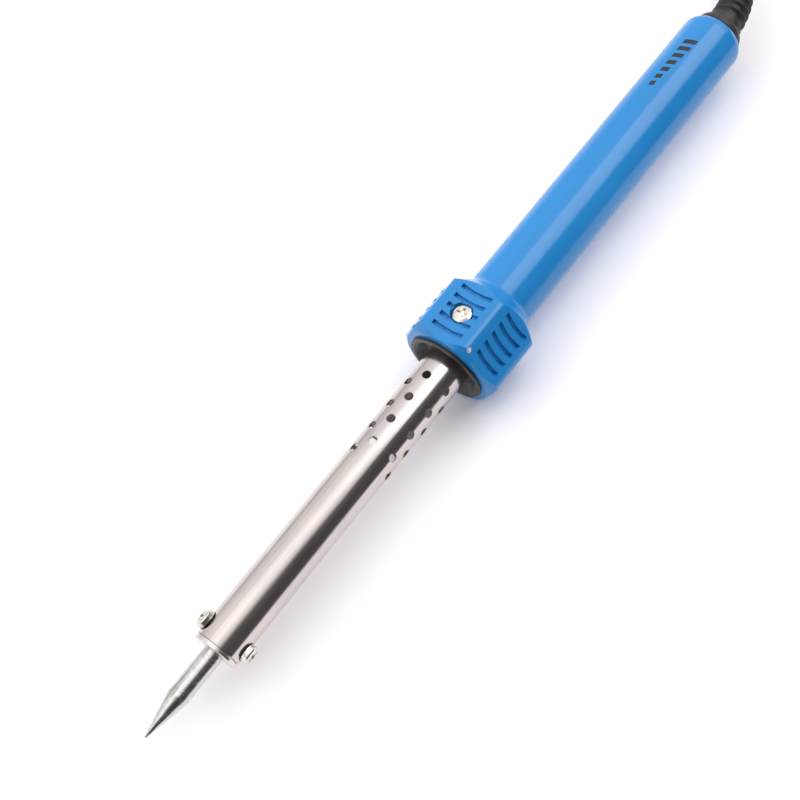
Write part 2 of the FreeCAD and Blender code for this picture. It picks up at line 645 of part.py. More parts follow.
def boot_radius(length):
    share = length / float(D.boot_bend_length)
    return float(D.boot_neck_radius) + (float(D.boot_end_radius) - float(D.boot_neck_radius)) * share


def cord_axis():
    """The cord's axis inside the boot: a straight line and one arc."""
    bend = float(D.boot_bend_length)
    start = FreeCAD.Vector(float(at(D.jacket_from)), 0, float(AXIS_HEIGHT))
    turn, half, end = boot_point(0)[0], boot_point(bend / 2)[0], boot_point(bend)[0]
    return Part.Wire([Part.LineSegment(start, turn).toShape(), Part.Arc(turn, half, end).toShape()])


def boot_skin():
    """The bent taper of the boot's tail, lofted through rings on its axis."""
    rings = []
    steps = 6
    for step in range(steps + 1):
        length = float(D.boot_bend_length) * step / steps
        point, ahead = boot_point(length)
        rings.append(Part.Wire(Part.makeCircle(boot_radius(length), point, ahead)))
    return Part.makeLoft(rings, True)


def make_boot():
    end = D.handle_end_at
    neck = D.boot_neck_radius
    plug = turned("boot_root", [
        (end - D.end_wall - D.boot_inner_flange, 0),
        (end - D.end_wall - D.boot_inner_flange, D.boot_inner_radius - 0.8),
        (end - D.end_wall, D.boot_inner_radius), (end - D.end_wall, D.cord_hole_radius),
        (end, D.cord_hole_radius), (end, D.boot_flange_radius),
        (end + D.boot_flange * 0.35, D.boot_flange_radius - 0.15),
        (end + D.boot_flange * 0.75, D.boot_flange_radius - 0.9), (end + D.boot_flange, neck + 0.5),
        (end + D.boot_straight, neck), (end + D.boot_straight, 0),
    ])
    DOC.recompute()
    solid = plug.Shape.copy().fuse(boot_skin())
    pitch = float(D.boot_bend_length) / (DRIVING["boot_ribs"] + 0.5)
    for rib in range(DRIVING["boot_ribs"]):
        middle = pitch * (rib + 0.9)
        point, ahead = boot_point(middle)
        radius = boot_radius(middle) + float(D.boot_rib)
        width = float(D.boot_rib_width)
        solid = solid.fuse(Part.makeCylinder(radius, width, point - ahead * (width / 2), ahead))
    bore = cord_axis().makePipeShell([cord_ring()], True, False)
    keep(feature("boot_solid", solid.cut(bore)), "strain_relief")
    keep(feature("inner_cord", bore), "cord_inner_end")


def cord_ring():
    start = FreeCAD.Vector(float(at(D.jacket_from)), 0, float(AXIS_HEIGHT))
    return Part.Wire(Part.makeCircle(float(D.cord_radius), start, X_AXIS))


# Where the free cord goes, from the boot to the hank and from the hank to the plug.
RUN_ROUTE = [(169.6, 15.7, 8.8), (184.5, 22.9, 6.5), (199.0, 25.8, 5.2), (212.0, 26.2, 4.4), (220.0, 25.6, 4.1)]
TAIL_ROUTE = [(323.5, 25.5, 10.2), (332.5, 25.4, 10.2), (342.7, 22.9, 9.5), (352.0, 18.0, 8.0),
              (362.2, 15.5, 6.9), (371.5, 15.5, 6.9)]


def hank_slab(grow):
    """The hank's outer shape, a flat block with round ends, made larger all round by grow."""
    radius = float(D.hank_fold_radius + D.cord_radius) + grow
    straight = float(D.hank_straight)
    low = float(D.tie_thickness) - grow
    height = DRIVING["hank_layers"] * float(D.hank_layer) + 2 * grow
    near = FreeCAD.Vector(float(D.hank_from) + radius - grow, float(D.hank_side), low)
    middle = Part.makeBox(straight, 2 * radius, height, near - Y_AXIS * radius)
    ends = [Part.makeCylinder(radius, height, near + X_AXIS * x, Z_AXIS) for x in (0, straight)]
    return middle.multiFuse(ends).removeSplitter()


def make_cord():
    keep(tube("clamp_ring", D.clamp_from, D.clamp_from + D.clamp_length, D.cord_radius, D.clamp_radius),
         "cord_clamp")
    start = boot_point(float(D.boot_bend_length))[0]
    keep(feature("run_tube", swept([tuple(start)] + RUN_ROUTE, float(D.cord_radius))), "cord_run")
    keep(feature("tail_tube", swept(TAIL_ROUTE, float(D.cord_radius))), "cord_tail")
    slab = hank_slab(0)
    keep(feature("hank_block", slab), "cord_hank")
    width = float(D.tie_width)
    centre = float(D.hank_from + D.hank_fold_radius + D.cord_radius) + float(D.hank_straight) / 2
    slot = Part.makeBox(width, 100, 40, FreeCAD.Vector(centre - width / 2, -50, -10))
    band = hank_slab(float(D.tie_thickness)).cut(slab).common(slot)
    keep(feature("tie_band", band), "hank_tie")


# ---- the plug ----------------------------------------------------------------------------------------------


def make_plug():
    body = DOC.addObject("PartDesign::Body", "plug_moulding")
    half = D.plug_width / 2
    end = D.plug_neck + D.plug_length
    sketch = outline(body, "plug_outline", "XY_Plane", [
        (D.plug_neck, -half * 0.5), (D.plug_neck + 9, -half), (end - 4, -half), (end, -half * 0.93),
        (end, half * 0.93), (end - 4, half), (D.plug_neck + 9, half), (D.plug_neck, half * 0.5),
    ])
    pad = body.newObject("PartDesign::Pad", "plug_pad")
    pad.Profile = sketch
    bind(pad, Length=D.plug_height)
    pad.Midplane = True
    body.Tip = pad
    rounded(body, D.plug_round, lambda e: abs(e.CenterOfMass.x - float(end)) > 1
            and abs(abs(e.CenterOfMass.z) - float(D.plug_height) / 2) < 0.1)
    centre = D.plug_height / 2
    place(body, x=D.plug_at, y=D.plug_side, z=centre)
    neck = rod("plug_neck", D.plug_neck_radius, D.plug_neck + 4, x=D.plug_at, y=D.plug_side, z=centre,
               turn=ALONG_X)
    whole = joined("Part::Fuse", "plug_whole", body, neck)
    bore = rod("plug_cord_hole", D.cord_radius, D.plug_cord_depth, x=D.plug_at, y=D.plug_side, z=centre,
               turn=ALONG_X)
    entered = joined("Part::Cut", "plug_entered", whole, bore)
    DOC.recompute()
    face = float(D.plug_at + end)
    holes = []
    pins = []
    for sign in (1, -1):
        root = FreeCAD.Vector(face - float(D.pin_root), float(D.plug_side) + sign * float(D.pin_spacing) / 2,
                              float(centre))
        rooted = Part.makeCylinder(float(D.pin_root_radius), float(D.pin_root), root, X_AXIS)
        holes.append(rooted)
        foot = root + X_AXIS * float(D.pin_root)
        pin = Part.makeCylinder(float(D.pin_radius), float(D.pin_length), foot, X_AXIS)
        tip_edges = [e for e in pin.Edges if abs(e.CenterOfMass.x - face - float(D.pin_length)) < 0.01]
        pins.append(pin.makeChamfer(float(D.pin_tip_chamfer), tip_edges).fuse(rooted))
    pin_tool = feature("pin_holes", Part.makeCompound(holes))
    keep(joined("Part::Cut", "plug_cut", entered, pin_tool), "plug_body")
    keep(feature("pin_group", Part.makeCompound(pins)), "plug_pins")


def check_and_write():
    DOC.recompute()
    for thing in DOC.Objects:
        if "Invalid" in thing.State or "Error" in thing.State:
            raise SystemExit(f"{thing.Name} failed: {thing.State}")
    os.makedirs("parts", exist_ok=True)
    for node in NODES:
        shape = node.Shape
        if shape.isNull() or not shape.isValid() or not shape.Solids:
            raise SystemExit(f"{node.Label} has no sound solid")
        shape.exportStep(f"parts/{node.Label}.step")
        box = shape.BoundBox
        print(f"{node.Label:24} solids {len(shape.Solids):3} volume {shape.Volume:10.1f} "
              f"x {box.XMin:7.1f} {box.XMax:7.1f} y {box.YMin:6.1f} {box.YMax:6.1f} "
              f"z {box.ZMin:5.1f} {box.ZMax:5.1f}")


make_tip()
make_bush()
make_barrel()
make_tip_screws()
make_handle()
make_collar()
make_grip_screw()
make_heater()
make_leads()
make_terminals()
make_conductors()
make_boot()
make_cord()
make_plug()
check_and_write()
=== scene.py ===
import json
import math

import bmesh
import bpy
from mathutils import Matrix, Vector


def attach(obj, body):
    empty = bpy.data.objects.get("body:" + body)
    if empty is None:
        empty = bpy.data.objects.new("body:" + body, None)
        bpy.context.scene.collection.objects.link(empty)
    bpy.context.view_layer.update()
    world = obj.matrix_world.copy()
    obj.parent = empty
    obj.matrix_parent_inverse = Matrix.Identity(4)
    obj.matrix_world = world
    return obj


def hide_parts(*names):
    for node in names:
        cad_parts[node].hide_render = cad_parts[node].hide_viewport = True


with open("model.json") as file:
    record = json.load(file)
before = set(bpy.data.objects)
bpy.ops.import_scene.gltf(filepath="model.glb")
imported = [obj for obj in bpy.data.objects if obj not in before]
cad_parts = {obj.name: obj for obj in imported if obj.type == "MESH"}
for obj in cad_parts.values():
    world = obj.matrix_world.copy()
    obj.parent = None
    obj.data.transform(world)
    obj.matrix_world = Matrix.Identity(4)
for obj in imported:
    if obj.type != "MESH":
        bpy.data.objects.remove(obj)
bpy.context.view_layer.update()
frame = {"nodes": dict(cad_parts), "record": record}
MM = 0.001
AXIS_Z = 14.45 * MM
UP = Vector((0, 0, 1))
ALONG = Vector((1, 0, 0))


# ---- camera ------------------------------------------------------------------------------------------------

CAMERA_FROM = Vector((-0.12804, -0.15467, 0.33297))
CAMERA_AT = Vector((-0.02165, 0.00465, AXIS_Z))
CAMERA_ROLL = math.radians(-20.93)


def make_camera():
    data = bpy.data.cameras.new("camera")
    data.lens = 59.96
    data.sensor_width = 36.0
    data.clip_start = 0.01
    data.clip_end = 20
    camera = bpy.data.objects.new("camera", data)
    bpy.context.collection.objects.link(camera)
    ahead = (CAMERA_AT - CAMERA_FROM).normalized()
    level_right = ahead.cross(UP).normalized()
    level_up = level_right.cross(ahead)
    right = level_right * math.cos(CAMERA_ROLL) + level_up * math.sin(CAMERA_ROLL)
    up = level_up * math.cos(CAMERA_ROLL) - level_right * math.sin(CAMERA_ROLL)
    turn = Matrix((right, up, -ahead)).transposed().to_4x4()
    camera.matrix_world = Matrix.Translation(CAMERA_FROM) @ turn
    bpy.context.scene.camera = camera


# ---- the cord's route --------------------------------------------------------------------------------------

CORD_RADIUS = 3.0 * MM
BOOT_START = Vector((0.1374, 0, AXIS_Z))
BOOT_BEND_RADIUS = 34.0 * MM
BOOT_BEND_LENGTH = 24.0 * MM
BOOT_DROP = math.radians(20)
BOOT_STRAIGHT = 3.4 * MM
BOOT_END_ROUND = 1.2 * MM
BOOT_INSIDE_RADIUS = 4.4 * MM
RIB_EDGE = 0.3

RUN = [(0.1696, 0.0157, 0.0088), (0.1845, 0.0229, 0.0065), (0.199, 0.0258, 0.0052), (0.212, 0.0262, 0.0044)]
TAIL = [(0.3427, 0.0229, 0.0095), (0.352, 0.018, 0.008), (0.3622, 0.0155, 0.0069), (0.3715, 0.0155, 0.0069)]

HANK_SIDE = 6.0 * MM
HANK_NEAR = 224.5 * MM
HANK_STRAIGHT = 98.0 * MM
HANK_LOW = 4.05 * MM
HANK_HIGH = 10.2 * MM
HANK_WIDE = 19.5 * MM
HANK_NARROW = 13.0 * MM


def boot_frame(length):
    """A point of the boot's bent axis, and its direction, that far behind the straight part."""
    if length < 0:
        return BOOT_START + ALONG * length, ALONG.copy()
    turn = length / BOOT_BEND_RADIUS
    aside = Vector((0, math.cos(BOOT_DROP), -math.sin(BOOT_DROP)))
    ahead = ALONG * math.cos(turn) + aside * math.sin(turn)
    across = ALONG * math.sin(turn) + aside * (1 - math.cos(turn))
    return BOOT_START + across * BOOT_BEND_RADIUS, ahead


def mix(a, b, share):
    return a + (b - a) * share


def strand(side, radius, low, high, heading):
    """One straight length of the hank, from one fold to the other."""
    ends = (0, 1) if heading > 0 else (1, 0)
    for step in range(5):
        share = (step + 0.5) / 5
        along = mix(*ends, share)
        sway = 0.25 * MM * math.sin(7 * along + 40 * radius + 90 * low)
        height = mix(low, high, share * share * (3 - 2 * share))
        yield (HANK_NEAR + HANK_STRAIGHT * along, HANK_SIDE + side * (radius + sway), height)


def fold(end, start_radius, end_radius, height):
    """A half turn at one end of the hank; the far end turns from +Y to -Y, the near end back."""
    steps = 6
    centre = HANK_NEAR + (HANK_STRAIGHT if end > 0 else 0)
    for step in range(steps + 1):
        share = step / steps
        angle = math.pi * (0.5 - share) if end > 0 else math.pi * (1.5 - share)
        radius = mix(start_radius, end_radius, share) + 0.35 * MM
        yield (centre + radius * math.cos(angle), HANK_SIDE + radius * math.sin(angle), height)


def hank_points():
    """Seven lengths of cord in two layers, wound inwards below and outwards above."""
    wide, narrow, low, high = HANK_WIDE, HANK_NARROW, HANK_LOW, HANK_HIGH
    yield from strand(1, wide, low, low, 1)
    yield from fold(1, wide, wide, low)
    yield from strand(-1, wide, low, low, -1)
    yield from fold(-1, wide, narrow, low)
    yield from strand(1, narrow, low, low, 1)
    yield from fold(1, narrow, narrow, low)
    yield from strand(-1, narrow, low, high, -1)
    yield from fold(-1, narrow, narrow, high)
    yield from strand(1, narrow, high, high, 1)
    yield from fold(1, narrow, wide, high)
    yield from strand(-1, wide, high, high, -1)
    yield from fold(-1, wide, wide, high)
    yield from strand(1, wide, high, high, 1)


def make_cord():
    exit_point, _ = boot_frame(BOOT_BEND_LENGTH)
    points = [tuple(exit_point)] + RUN + list(hank_points()) + TAIL
    curve = bpy.data.curves.new("cord_line", "CURVE")
    curve.dimensions = "3D"
    curve.bevel_depth = 1.0
    curve.bevel_resolution = 6
    curve.resolution_u = 12
    curve.use_fill_caps = True
    spline = curve.splines.new("NURBS")
    spline.points.add(len(points) - 1)
    # each point carries the cord's radius, because a curve's bounds reach out by its points' radii
    for place, point in zip(spline.points, points):
        place.co = (*point, 1)
        place.radius = CORD_RADIUS
    spline.order_u = 3
    spline.use_endpoint_u = True
    cord = bpy.data.objects.new("mains_cord", curve)
    bpy.context.collection.objects.link(cord)
    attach(cord, "iron")
    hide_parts("cord_run", "cord_hank", "cord_tail")
    return cord


def declare_cord(plug, tie):
    exit_point, _ = boot_frame(BOOT_BEND_LENGTH)
    tuple(exit_point)


# ---- materials ---------------------------------------------------------------------------------------------


class Recipe:
    """A node material under construction, in object coordinates (metres)."""

    def __init__(self, name):
        self.material = bpy.data.materials.new(name)
        self.material.use_nodes = True
        self.tree = self.material.node_tree
        self.shader = self.tree.nodes["Principled BSDF"]
        self.coords = self.tree.nodes.new("ShaderNodeTexCoord").outputs["Object"]
        self.height = None

    def constant(self, **values):
        """Sets the shader's own sockets; underscores stand for spaces."""
        for name, value in values.items():
            self.shader.inputs[name.replace("_", " ")].default_value = value

    def link(self, source, socket):
        self.tree.links.new(source, socket)

    def stretched(self, x, y, z, source=None):
        node = self.tree.nodes.new("ShaderNodeMapping")
        node.inputs["Scale"].default_value = (x, y, z)
        self.link(source or self.coords, node.inputs["Vector"])
        return node.outputs["Vector"]

    def noise(self, scale, detail=4.0, source=None, rough=0.55):
        node = self.tree.nodes.new("ShaderNodeTexNoise")
        node.inputs["Scale"].default_value = scale
        node.inputs["Detail"].default_value = detail
        node.inputs["Roughness"].default_value = rough
        self.link(source or self.coords, node.inputs["Vector"])
        return node.outputs["Fac"]

    def math(self, operation, a, b=None):
        node = self.tree.nodes.new("ShaderNodeMath")
        node.operation = operation
        for socket, value in zip(node.inputs, (a, b)):
            if value is None:
                continue
            if isinstance(value, (int, float)):
                socket.default_value = value
            else:
                self.link(value, socket)
        return node.outputs[0]

    def ranged(self, value, low, high, to_low, to_high):
        """A value between low and high, moved to between to_low and to_high."""
        node = self.tree.nodes.new("ShaderNodeMapRange")
        for name, number in (("From Min", low), ("From Max", high), ("To Min", to_low), ("To Max", to_high)):
            node.inputs[name].default_value = number
        self.link(value, node.inputs["Value"])
        return node.outputs["Result"]

    def mixed(self, share, one, other):
        """A colour between two, each a colour or another node's output."""
        node = self.tree.nodes.new("ShaderNodeMix")
        node.data_type = "RGBA"
        self.link(share, node.inputs["Factor"])
        sockets = [s for s in node.inputs if s.type == "RGBA"]
        for socket, value in zip(sockets, (one, other)):
            if isinstance(value, tuple):
                socket.default_value = (*value, 1)
            else:
                self.link(value, socket)
        return [s for s in node.outputs if s.type == "RGBA"][0]

    def color(self, source):
        self.link(source, self.shader.inputs["Base Color"])

    def roughness(self, source):
        self.link(source, self.shader.inputs["Roughness"])

    def raise_by(self, height, depth):
        """Adds relief: the height, from 0 to 1, stands for that depth in metres."""
        node = self.tree.nodes.new("ShaderNodeBump")
        node.inputs["Strength"].default_value = 1.0
        node.inputs["Distance"].default_value = depth
        self.link(height, node.inputs["Height"])
        if self.height is not None:
            self.link(self.height, node.inputs["Normal"])
        self.height = node.outputs["Normal"]
        self.link(self.height, self.shader.inputs["Normal"])

    def from_axis(self):
        """The distance from the iron's axis, and the place along it."""
        split = self.tree.nodes.new("ShaderNodeSeparateXYZ")
        self.link(self.coords, split.inputs[0])
        up = self.math("SUBTRACT", split.outputs["Z"], AXIS_Z)
        squares = self.math("ADD", self.math("MULTIPLY", split.outputs["Y"], split.outputs["Y"]),
                            self.math("MULTIPLY", up, up))
        return self.math("SQRT", squares), split.outputs["X"]

    def pair(self, a, b):
        node = self.tree.nodes.new("ShaderNodeCombineXYZ")
        self.link(a, node.inputs["X"])
        self.link(b, node.inputs["Y"])
        return node.outputs[0]


def metal(name, light, dark, rough, stretch, grain, depth, blotch=60):
    """Bare metal: tone, roughness and relief from noise drawn out along or around the piece."""
    make = Recipe(name)
    make.constant(Metallic=1.0)
    streaks = make.noise(grain, 5, make.stretched(*stretch))
    clouds = make.noise(blotch, 3)
    both = make.math("ADD", make.math("MULTIPLY", streaks, 0.55), make.math("MULTIPLY", clouds, 0.45))
    tone = make.ranged(both, 0.36, 0.64, 0, 1)
    make.color(make.mixed(tone, dark, light))
    make.roughness(make.ranged(streaks, 0.3, 0.7, rough[1], rough[0]))
    make.raise_by(streaks, depth)
    return make


def plain(name, light, dark, rough, grain, depth, blotch=90, **constants):
    """A moulded, fired or woven surface: fine grain over slow mottling."""
    make = Recipe(name)
    make.constant(**constants)
    fine = make.noise(grain, 5)
    slow = make.noise(blotch, 3)
    tone = make.ranged(make.math("ADD", make.math("MULTIPLY", fine, 0.5), make.math("MULTIPLY", slow, 0.5)),
                       0.38, 0.62, 0, 1)
    make.color(make.mixed(tone, dark, light))
    make.roughness(make.ranged(slow, 0.3, 0.7, *rough))
    make.raise_by(fine, depth)
    return make


def near(make, point, radius, ragged):
    """1 inside a ragged spot round a point, else 0."""
    node = make.tree.nodes.new("ShaderNodeVectorMath")
    node.operation = "DISTANCE"
    make.link(make.coords, node.inputs[0])
    node.inputs[1].default_value = point
    fray = make.ranged(make.noise(1800, 3), 0.3, 0.7, -ragged, ragged)
    edge = make.math("ADD", node.outputs["Value"], fray)
    return make.ranged(edge, radius * 0.8, radius * 1.1, 1, 0)


NICK = (-3.8 * MM, -8.9 * MM, AXIS_Z + 13.5 * MM)


def handle_material():
    """Glossy blue plastic with faint flow marks, a little wear and a pale nick on the grip."""
    make = Recipe("handle_blue")
    make.constant(IOR=1.47)
    flow = make.noise(45, 4, make.stretched(0.3, 1, 1))
    fine = make.noise(2600, 4)
    base = make.mixed(make.ranged(flow, 0.35, 0.65, 0, 1), (0.016, 0.232, 0.590), (0.024, 0.262, 0.650))
    scuffs = make.ranged(make.noise(700, 6, make.stretched(1, 0.25, 0.25), 0.7), 0.66, 0.78, 0, 0.35)
    base = make.mixed(scuffs, base, (0.10, 0.40, 0.80))
    make.color(make.mixed(near(make, NICK, 0.6 * MM, 0.4 * MM), base, (0.75, 0.62, 0.62)))
    rough = make.math("ADD", make.ranged(flow, 0.3, 0.7, 0.12, 0.17), make.math("MULTIPLY", scuffs, 0.35))
    make.roughness(make.math("ADD", rough, make.ranged(fine, 0.3, 0.7, -0.02, 0.03)))
    make.raise_by(fine, 0.004 * MM)
    make.raise_by(make.noise(160, 2), 0.03 * MM)
    return make.material


def collar_material():
    """Pressed phenolic: near black and slightly brown, with light rings turned into its face."""
    make = Recipe("phenolic_black")
    make.constant(IOR=1.5)
    radius, along = make.from_axis()
    rings = make.noise(5200, 3, make.pair(radius, make.math("MULTIPLY", along, 0.2)), 0.7)
    grain = make.noise(2200, 5)
    base = make.mixed(make.ranged(grain, 0.35, 0.65, 0, 1), (0.019, 0.016, 0.015), (0.037, 0.032, 0.030))
    make.color(make.mixed(make.ranged(rings, 0.57, 0.70, 0, 0.65), base, (0.19, 0.17, 0.155)))
    make.roughness(make.ranged(rings, 0.35, 0.7, 0.30, 0.5))
    make.raise_by(rings, 0.02 * MM)
    make.raise_by(grain, 0.01 * MM)
    return make.material


def barrel_material():
    """Polished stainless tube, drawn lengthwise: fine lines, slow waves and a warm cast."""
    make = Recipe("barrel_steel")
    make.constant(Metallic=1.0)
    lines = make.noise(2200, 4, make.stretched(0.02, 1, 1))
    waves = make.noise(120, 2, make.stretched(0.22, 1, 1))
    blotches = make.noise(55, 4)
    warm = make.mixed(make.ranged(blotches, 0.4, 0.62, 0, 1), (0.63, 0.578, 0.565), (0.675, 0.612, 0.585))
    make.color(make.mixed(make.ranged(lines, 0.56, 0.7, 0, 0.5), warm, (0.45, 0.42, 0.40)))
    make.roughness(make.ranged(lines, 0.3, 0.7, 0.13, 0.24))
    make.raise_by(lines, 0.0018 * MM)
    make.raise_by(waves, 0.045 * MM)
    return make.material


def tip_material():
    """Nickel over turned copper: fine rings on the cone, wrinkled streaks and specks on the shank."""
    make = Recipe("tip_nickel")
    make.constant(Metallic=1.0)
    turning = make.noise(3000, 4, make.stretched(1, 0.22, 0.22), 0.6)
    wrinkles = make.noise(420, 4, make.stretched(0.45, 1, 1), 0.65)
    streaks = make.ranged(make.noise(520, 4, make.stretched(0.16, 1, 1), 0.6), 0.50, 0.66, 0, 0.75)
    specks = make.ranged(make.noise(900, 3), 0.66, 0.74, 0, 0.8)
    base = make.mixed(make.ranged(turning, 0.35, 0.65, 0, 1), (0.58, 0.555, 0.53), (0.74, 0.72, 0.70))
    base = make.mixed(streaks, base, (0.30, 0.28, 0.27))
    make.color(make.mixed(specks, base, (0.92, 0.90, 0.88)))
    make.roughness(make.ranged(turning, 0.3, 0.7, 0.14, 0.3))
    make.raise_by(turning, 0.004 * MM)
    make.raise_by(wrinkles, 0.085 * MM)
    return make.material


def ring_wear(make):
    """Bright turned rings round the iron's axis, for the bush's face."""
    radius, along = make.from_axis()
    rings = make.noise(6000, 3, make.pair(radius, along), 0.6)
    make.raise_by(rings, 0.008 * MM)
    return make.material


def weave_material():
    """Woven strap: threads over and under, in the strap's own UV layer."""
    make = Recipe("tie_strap")
    make.constant(Sheen_Weight=0.4, Sheen_Roughness=0.5, IOR=1.45)
    uv = make.tree.nodes.new("ShaderNodeUVMap")
    uv.uv_map = "strap"
    split = make.tree.nodes.new("ShaderNodeSeparateXYZ")
    make.link(uv.outputs["UV"], split.inputs[0])
    long_way = make.math("SINE", make.math("MULTIPLY", split.outputs["X"], 2 * math.pi * 1100))
    cross_way = make.math("SINE", make.math("MULTIPLY", split.outputs["Y"], 2 * math.pi * 900))
    threads = make.ranged(make.math("MULTIPLY", long_way, cross_way), -1, 1, 0, 1)
    fuzz = make.noise(3000, 5)
    base = make.mixed(threads, (0.006, 0.006, 0.007), (0.035, 0.035, 0.039))
    make.color(make.mixed(make.ranged(fuzz, 0.6, 0.75, 0, 0.6), base, (0.075, 0.075, 0.08)))
    make.roughness(make.ranged(fuzz, 0.3, 0.7, 0.7, 0.9))
    make.raise_by(threads, 0.16 * MM)
    make.raise_by(fuzz, 0.05 * MM)
    return make.material


def make_materials():
    """One material for each of the record's slots, and one for the printed mark."""
    around = (1, 0.08, 0.08)
    lengthwise = (0.04, 1, 1)
    screw = metal("screw_nickel", (0.86, 0.84, 0.79), (0.68, 0.64, 0.56), (0.10, 0.24), (1, 1, 1), 900,
                  0.02 * MM, blotch=420)
    return {
        "tip_nickel": tip_material(),
        "bush_steel": ring_wear(metal("bush_steel", (0.84, 0.82, 0.80), (0.66, 0.64, 0.62), (0.16, 0.34),
                                      around, 2400, 0.004 * MM)),
        "barrel_steel": barrel_material(),
        "screw_nickel": screw.material,
        "handle_blue": handle_material(),
        "phenolic_black": collar_material(),
        "brass_parts": metal("brass_parts", (0.78, 0.60, 0.29), (0.62, 0.45, 0.20), (0.18, 0.36), around,
                             2600, 0.005 * MM).material,
        "mica_sheet": plain("mica_sheet", (0.60, 0.53, 0.41), (0.44, 0.37, 0.27), (0.35, 0.55), 900,
                            0.02 * MM, IOR=1.58).material,
        "coil_wire": metal("coil_wire", (0.42, 0.39, 0.36), (0.24, 0.21, 0.19), (0.35, 0.55), around, 3000,
                           0.01 * MM).material,
        "ceramic_white": plain("ceramic_white", (0.84, 0.82, 0.77), (0.72, 0.69, 0.63), (0.5, 0.7), 1500,
                               0.03 * MM, IOR=1.6).material,
        "wire_brown": plain("wire_brown", (0.19, 0.085, 0.04), (0.13, 0.055, 0.025), (0.35, 0.5), 1400,
                            0.01 * MM, IOR=1.5).material,
        "wire_blue": plain("wire_blue", (0.03, 0.12, 0.45), (0.02, 0.08, 0.33), (0.35, 0.5), 1400,
                           0.01 * MM, IOR=1.5).material,
        "cord_black": plain("cord_black", (0.026, 0.026, 0.028), (0.014, 0.014, 0.015), (0.34, 0.48), 1700,
                            0.015 * MM, IOR=1.5).material,
        "boot_rubber": plain("boot_rubber", (0.030, 0.028, 0.028), (0.017, 0.016, 0.016), (0.38, 0.52), 1500,
                             0.02 * MM, IOR=1.5).material,
        "tie_strap": weave_material(),
        "plug_black": plain("plug_black", (0.024, 0.024, 0.025), (0.014, 0.014, 0.015), (0.36, 0.5), 2400,
                            0.03 * MM, IOR=1.5).material,
        "pin_nickel": metal("pin_nickel", (0.76, 0.74, 0.70), (0.64, 0.61, 0.56), (0.16, 0.3), lengthwise,
                            2200, 0.004 * MM).material,
        "printed_mark": plain("printed_mark", (0.012, 0.012, 0.014), (0.022, 0.022, 0.026), (0.4, 0.55), 2600,
                              0.004 * MM, IOR=1.5).material,
    }


def paint_nodes(materials):
    """Gives every CAD node the material of its slot in the record."""
    for row in frame["record"]["subparts"]:
        node = frame["nodes"][row["node"]]
        for place in node.material_slots:
            place.link = "OBJECT"
            place.material = materials[row["material_slot"]]


# ---- pieces that stand for CAD solids ----------------------------------------------------------------------


def loft(name, rings, material):
    """A smooth piece through closed rings of points, all with the same count."""
    mesh = bpy.data.meshes.new(name)
    built = bmesh.new()
    rows = [[built.verts.new(point) for point in ring] for ring in rings]
    count = len(rows[0])
    for here, there in zip(rows, rows[1:]):
        for i in range(count):
            j = (i + 1) % count
            built.faces.new((here[i], there[i], there[j], here[j]))
    built.faces.new(rows[0])
    built.faces.new(list(reversed(rows[-1])))
    bmesh.ops.recalc_face_normals(built, faces=built.faces)
    built.to_mesh(mesh)
    built.free()
    for face in mesh.polygons:
        face.use_smooth = True
    piece = bpy.data.objects.new(name, mesh)
    bpy.context.collection.objects.link(piece)
    mesh.materials.append(material)
    return piece


def bump_shape(share, edge):
    """0 at the ends, 1 in the middle, with soft shoulders."""
    side = min(share, 1 - share) / edge
    side = max(0.0, min(1.0, side))
    return side * side * (3 - 2 * side)


def boot_radius(length):
    """The boot's outside, that far behind the handle's end: a domed flange, a neck, then deep ribs."""
    flange = 3.1 * MM
    if length < flange:
        share = length / flange
        return mix(5.9 * MM, 7.75 * MM, math.sqrt(max(0.0, 1 - share ** 2.6)))
    neck = 5.9 * MM - 0.055 * (length - flange)
    ribbed = length - 5.2 * MM
    pitch = 2.85 * MM
    if ribbed < 0 or ribbed > 7.6 * pitch:
        return neck
    return neck - 1.05 * MM * bump_shape((ribbed % pitch) / pitch, RIB_EDGE)


def make_boot(materials):
    """The moulded strain relief: it comes out of the handle straight, then bends aside with the cord."""
    length = BOOT_STRAIGHT + BOOT_BEND_LENGTH
    steps = 260
    rings = []
    inside = -4.0 * MM
    stations = [(inside, BOOT_INSIDE_RADIUS), (-0.02 * MM, BOOT_INSIDE_RADIUS)]
    stations += [(length * step / steps, None) for step in range(steps + 1)]
    for station, radius in stations:
        centre, ahead = boot_frame(station - BOOT_STRAIGHT)
        side = ahead.cross(UP).normalized()
        top = side.cross(ahead)
        wide = boot_radius(station) if radius is None else radius
        if radius is None and station > length - BOOT_END_ROUND:
            fade = (station - length + BOOT_END_ROUND) / BOOT_END_ROUND
            wide = mix(wide, 3.6 * MM, fade ** 3)
        ring = []
        for i in range(56):
            angle = 2 * math.pi * i / 56
            ring.append(centre + side * (wide * math.cos(angle)) + top * (wide * math.sin(angle)))
        rings.append(ring)
    piece = loft("ribbed_boot", rings, materials["boot_rubber"])
    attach(piece, "iron")
    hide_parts("strain_relief")
    return piece


PLUG_AT = 363.5 * MM
PLUG_SIDE = 15.5 * MM
PLUG_HEIGHT = 6.9 * MM


def plug_section(station):
    """Half width, half height and squareness of the plug's moulding, that far behind its neck."""
    keys = [(0, 4.0, 4.0, 2.0), (1.2, 4.6, 4.6, 2.0), (8.5, 5.0, 4.9, 2.1), (13.0, 7.6, 5.7, 2.5),
            (19.0, 12.0, 6.6, 3.2), (24.0, 12.9, 6.85, 3.8), (33.0, 12.5, 6.6, 4.2), (38.5, 12.9, 6.8, 4.4),
            (41.2, 12.7, 6.7, 4.4), (42.0, 12.1, 6.1, 4.2)]
    for (a, *one), (b, *other) in zip(keys, keys[1:]):
        if station <= b:
            share = (station - a) / (b - a)
            share = share * share * (3 - 2 * share)
            return [mix(p, q, share) for p, q in zip(one, other)]
    return keys[-1][1:]


